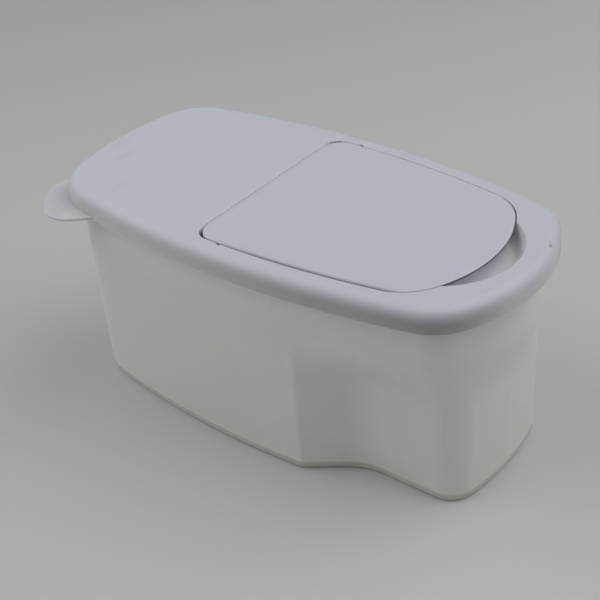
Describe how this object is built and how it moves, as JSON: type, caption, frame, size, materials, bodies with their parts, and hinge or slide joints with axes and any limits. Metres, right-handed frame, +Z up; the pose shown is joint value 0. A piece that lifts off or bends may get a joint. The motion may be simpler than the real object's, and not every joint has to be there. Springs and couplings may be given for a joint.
{
  "type": "dry food storage container",
  "caption": "Empty flip-top dry-food keeper: hollow translucent tub with a stepped hand grip at the front, press-on lid with pull tab and finger scoop, and a hinged pour flap.",
  "frame": {"origin": "on the surface that the tub stands on, under the middle of the lid's length and width", "axes": "+X along the length, towards the pouring end where the flap opens; +Z up; the pull tab is at the rear corner of the -Y side"},
  "size_m": [0.3327, 0.1743, 0.152],
  "materials": {
    "tub_plastic": "translucent, satin",
    "lid_plastic": "satin"
  },
  "bodies": {
    "base": {"tub": "tub_plastic", "lid": "lid_plastic"},
    "flap": {"flap": "lid_plastic", "flap_seal": "lid_plastic"}
  },
  "joints": [
    {"name": "flap_hinge", "type": "hinge", "parent": "base", "child": "flap", "pos_m": [-0.008, 0, 0.1475], "axis": [0, -1, 0], "range_deg": [0, 100]}
  ]
}
